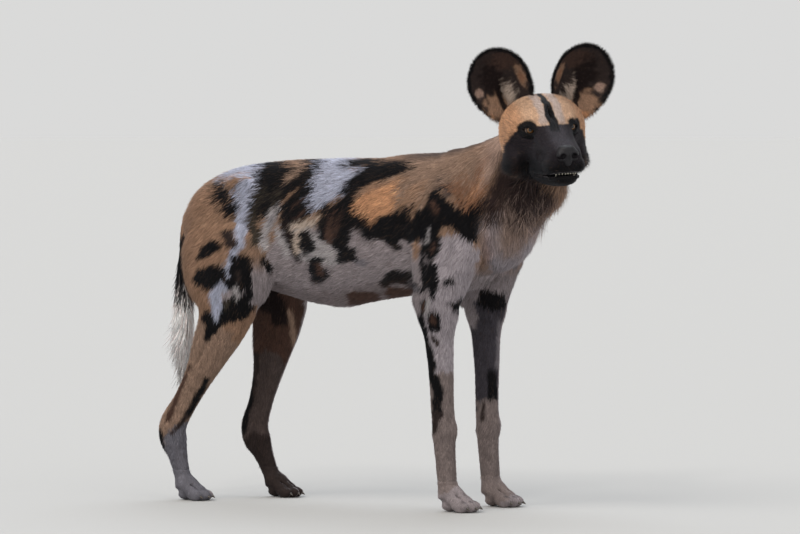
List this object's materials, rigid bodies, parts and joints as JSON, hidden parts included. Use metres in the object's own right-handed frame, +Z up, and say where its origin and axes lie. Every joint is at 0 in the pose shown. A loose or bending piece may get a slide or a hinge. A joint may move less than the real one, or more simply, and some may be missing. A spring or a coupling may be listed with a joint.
{
  "type": "african wild dog",
  "caption": "Standing african wild dog at life size, head turned to its right, large round ears, blotched coat, throat ruff and white-tipped bushy tail; a still museum model.",
  "frame": {"origin": "on the floor, under the middle of the bounding box", "axes": "+X from tail to chest along the body, +Y to the animal's left, +Z up"},
  "size_m": [0.958, 0.2904, 0.8775],
  "materials": {
    "coat": "short coarse fur, blotched black, tan and white",
    "neck_fur": "longer fur, tan at the side and dark brown at the throat",
    "face_fur": "short black mask under a cream and tan forehead",
    "ear_fur": "thin dark fur with pale hair inside",
    "leg_fur": "short grey and fawn fur with dark spots",
    "brush_fur": "long hair, black above and white at the tip",
    "nose_leather": "bare damp black skin",
    "eye": "wet amber brown with a dark pupil"
  },
  "bodies": {
    "root": {"torso": "coat", "neck": "neck_fur", "lower_jaw": "face_fur", "nose": "nose_leather", "head": "face_fur", "eye_right": "eye", "ear_right": "ear_fur", "eye_left": "eye", "ear_left": "ear_fur", "tail": "coat", "tail_brush": "brush_fur", "shoulder_right": "coat", "forearm_right": "leg_fur", "forepaw_right": "leg_fur", "shoulder_left": "coat", "forearm_left": "leg_fur", "forepaw_left": "leg_fur", "thigh_right": "coat", "shank_right": "leg_fur", "hindpaw_right": "leg_fur", "thigh_left": "coat", "shank_left": "leg_fur", "hindpaw_left": "leg_fur"}
  },
  "joints": []
}
